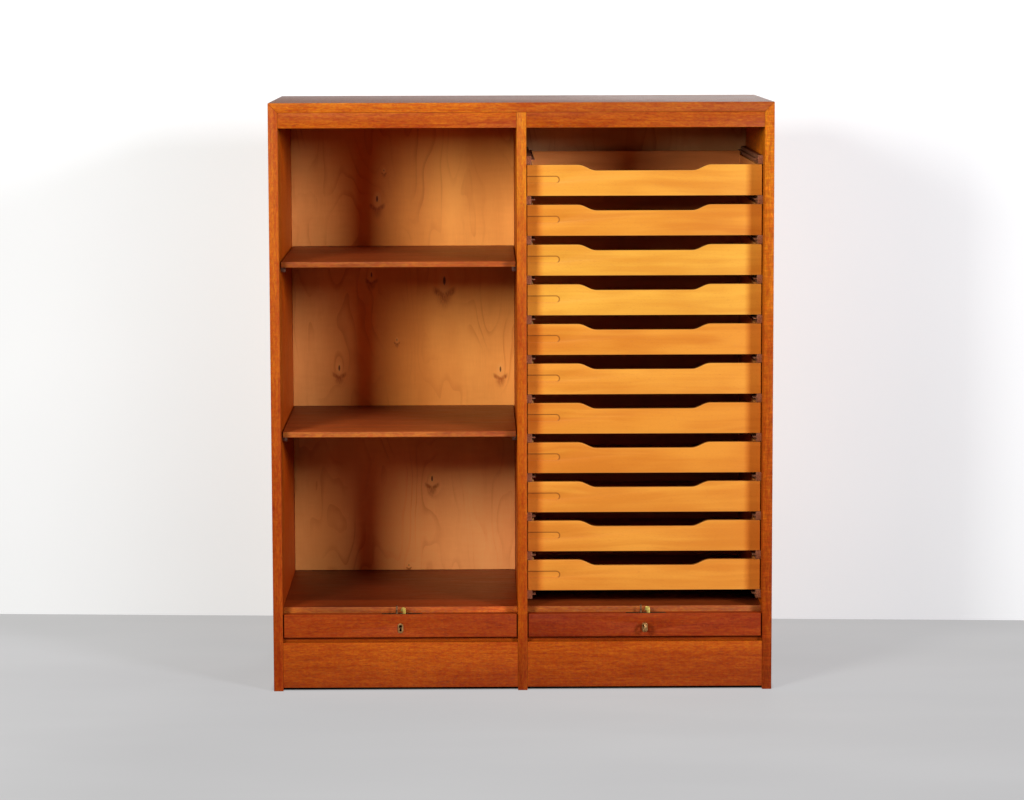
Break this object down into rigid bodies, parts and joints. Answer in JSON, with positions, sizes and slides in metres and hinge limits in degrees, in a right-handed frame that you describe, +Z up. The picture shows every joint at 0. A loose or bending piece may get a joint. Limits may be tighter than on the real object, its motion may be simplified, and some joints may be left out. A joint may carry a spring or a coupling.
{
  "type": "double tambour filing cabinet",
  "caption": "Wooden filing cabinet with side by side tambour shutters that drop below, shelves behind the left shutter and shallow sliding trays behind the right one.",
  "frame": {"origin": "on the floor under the middle of the whole model, key included", "axes": "+Z up, +X to the right as seen from the front, front faces -Y"},
  "size_m": [1, 0.522, 1.178],
  "materials": {
    "case_wood": "satin oiled reddish hardwood veneer and solid edges",
    "plywood": "satin birch plywood",
    "beech": "satin lacquered beech",
    "slat_wood": "satin reddish hardwood slats on canvas",
    "runner_wood": "plain waxed hardwood",
    "brass": "worn brass",
    "steel": "dull steel"
  },
  "bodies": {
    "case": {"left_side": "case_wood", "right_side": "case_wood", "top_panel": "case_wood", "centre_partition": "case_wood", "outer_back": "plywood", "left_header": "case_wood", "right_header": "case_wood", "left_strike": "brass", "right_strike": "brass", "left_plinth": "case_wood", "right_plinth": "case_wood", "left_bottom": "case_wood", "right_bottom": "case_wood", "left_inner_back": "plywood", "right_inner_back": "plywood", "left_curtain": "slat_wood", "right_curtain": "slat_wood", "upper_shelf": "case_wood", "lower_shelf": "case_wood", "upper_front_left_pin": "steel", "upper_front_right_pin": "steel", "upper_rear_left_pin": "steel", "upper_rear_right_pin": "steel", "lower_front_left_pin": "steel", "lower_front_right_pin": "steel", "lower_rear_left_pin": "steel", "lower_rear_right_pin": "steel", "left_runners": "runner_wood", "right_runners": "runner_wood"},
    "left_rail": {"left_rail": "case_wood", "left_lock": "steel", "left_escutcheon": "brass"},
    "left_hook": {"left_hook": "brass"},
    "right_rail": {"right_rail": "case_wood", "right_lock": "steel", "right_escutcheon": "brass"},
    "right_hook": {"right_hook": "brass"},
    "right_key": {"right_key": "brass"},
    "tray_01": {"tray_01_front": "beech", "tray_01_box": "beech"},
    "tray_02": {"tray_02_front": "beech", "tray_02_box": "beech"},
    "tray_03": {"tray_03_front": "beech", "tray_03_box": "beech"},
    "tray_04": {"tray_04_front": "beech", "tray_04_box": "beech"},
    "tray_05": {"tray_05_front": "beech", "tray_05_box": "beech"},
    "tray_06": {"tray_06_front": "beech", "tray_06_box": "beech"},
    "tray_07": {"tray_07_front": "beech", "tray_07_box": "beech"},
    "tray_08": {"tray_08_front": "beech", "tray_08_box": "beech"},
    "tray_09": {"tray_09_front": "beech", "tray_09_box": "beech"},
    "tray_10": {"tray_10_front": "beech", "tray_10_box": "beech"},
    "tray_11": {"tray_11_front": "beech", "tray_11_box": "beech"}
  },
  "joints": [
    {"name": "left_tambour", "type": "slide", "parent": "case", "child": "left_rail", "axis": [0, 0, -1], "range_m": [-0.9723, 0], "deforming": ["left_curtain"]},
    {"name": "right_tambour", "type": "slide", "parent": "case", "child": "right_rail", "axis": [0, 0, -1], "range_m": [-0.9723, 0], "deforming": ["right_curtain"]},
    {"name": "right_key_turn", "type": "hinge", "parent": "right_rail", "child": "right_key", "pos_m": [0.24525, -0.236, 0.1303], "axis": [0, -1, 0], "range_deg": [0, 90]},
    {"name": "left_hook_swing", "type": "hinge", "parent": "left_rail", "child": "left_hook", "pos_m": [-0.23955, -0.225, 0.141], "axis": [0, -1, 0], "range_deg": [0, 12]},
    {"name": "right_hook_swing", "type": "hinge", "parent": "right_rail", "child": "right_hook", "pos_m": [0.25095, -0.225, 0.141], "axis": [0, -1, 0], "range_deg": [0, 12]},
    {"name": "tray_01_slide", "type": "slide", "parent": "case", "child": "tray_01", "axis": [0, -1, 0], "range_m": [0, 0.3]},
    {"name": "tray_02_slide", "type": "slide", "parent": "case", "child": "tray_02", "axis": [0, -1, 0], "range_m": [0, 0.3]},
    {"name": "tray_03_slide", "type": "slide", "parent": "case", "child": "tray_03", "axis": [0, -1, 0], "range_m": [0, 0.3]},
    {"name": "tray_04_slide", "type": "slide", "parent": "case", "child": "tray_04", "axis": [0, -1, 0], "range_m": [0, 0.3]},
    {"name": "tray_05_slide", "type": "slide", "parent": "case", "child": "tray_05", "axis": [0, -1, 0], "range_m": [0, 0.3]},
    {"name": "tray_06_slide", "type": "slide", "parent": "case", "child": "tray_06", "axis": [0, -1, 0], "range_m": [0, 0.3]},
    {"name": "tray_07_slide", "type": "slide", "parent": "case", "child": "tray_07", "axis": [0, -1, 0], "range_m": [0, 0.3]},
    {"name": "tray_08_slide", "type": "slide", "parent": "case", "child": "tray_08", "axis": [0, -1, 0], "range_m": [0, 0.3]},
    {"name": "tray_09_slide", "type": "slide", "parent": "case", "child": "tray_09", "axis": [0, -1, 0], "range_m": [0, 0.3]},
    {"name": "tray_10_slide", "type": "slide", "parent": "case", "child": "tray_10", "axis": [0, -1, 0], "range_m": [0, 0.3]},
    {"name": "tray_11_slide", "type": "slide", "parent": "case", "child": "tray_11", "axis": [0, -1, 0], "range_m": [0, 0.3]}
  ],
  "couplings": [
    {"joint": "right_hook_swing", "follows": "right_key_turn", "ratio": 0.1333}
  ]
}
